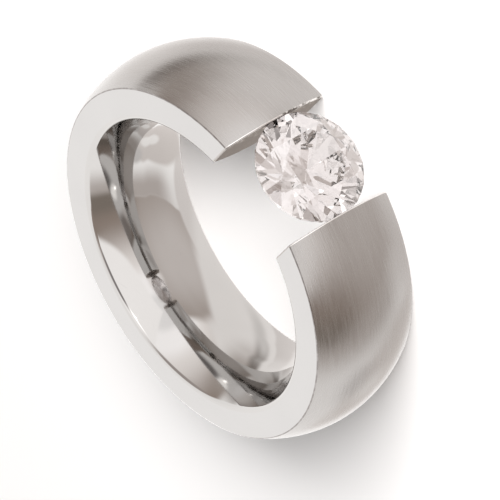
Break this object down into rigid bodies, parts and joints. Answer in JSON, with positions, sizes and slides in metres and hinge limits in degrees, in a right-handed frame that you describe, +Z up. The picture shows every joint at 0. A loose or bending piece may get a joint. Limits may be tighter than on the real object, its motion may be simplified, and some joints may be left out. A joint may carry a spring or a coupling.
{
  "type": "stainless steel tension ring with a clear stone",
  "caption": "Domed stainless steel finger ring whose open gap grips a clear round brilliant-cut stone by its girdle; brushed outside, polished sides and comfort-fit inside.",
  "frame": {"origin": "on the finger hole's axis, in the plane of the flat side that the ring rests on", "axes": "+Z up along the finger hole's axis, +Y from the axis through the gap towards the stone's table"},
  "size_m": [0.026, 0.0262, 0.0078],
  "materials": {
    "steel": "brushed around the domed outside and on the ends, mirror polished on the sides and inside",
    "clear_stone": "clear, cut and polished as a round brilliant"
  },
  "bodies": {
    "root": {"band": "steel", "stone": "clear_stone"}
  },
  "joints": []
}
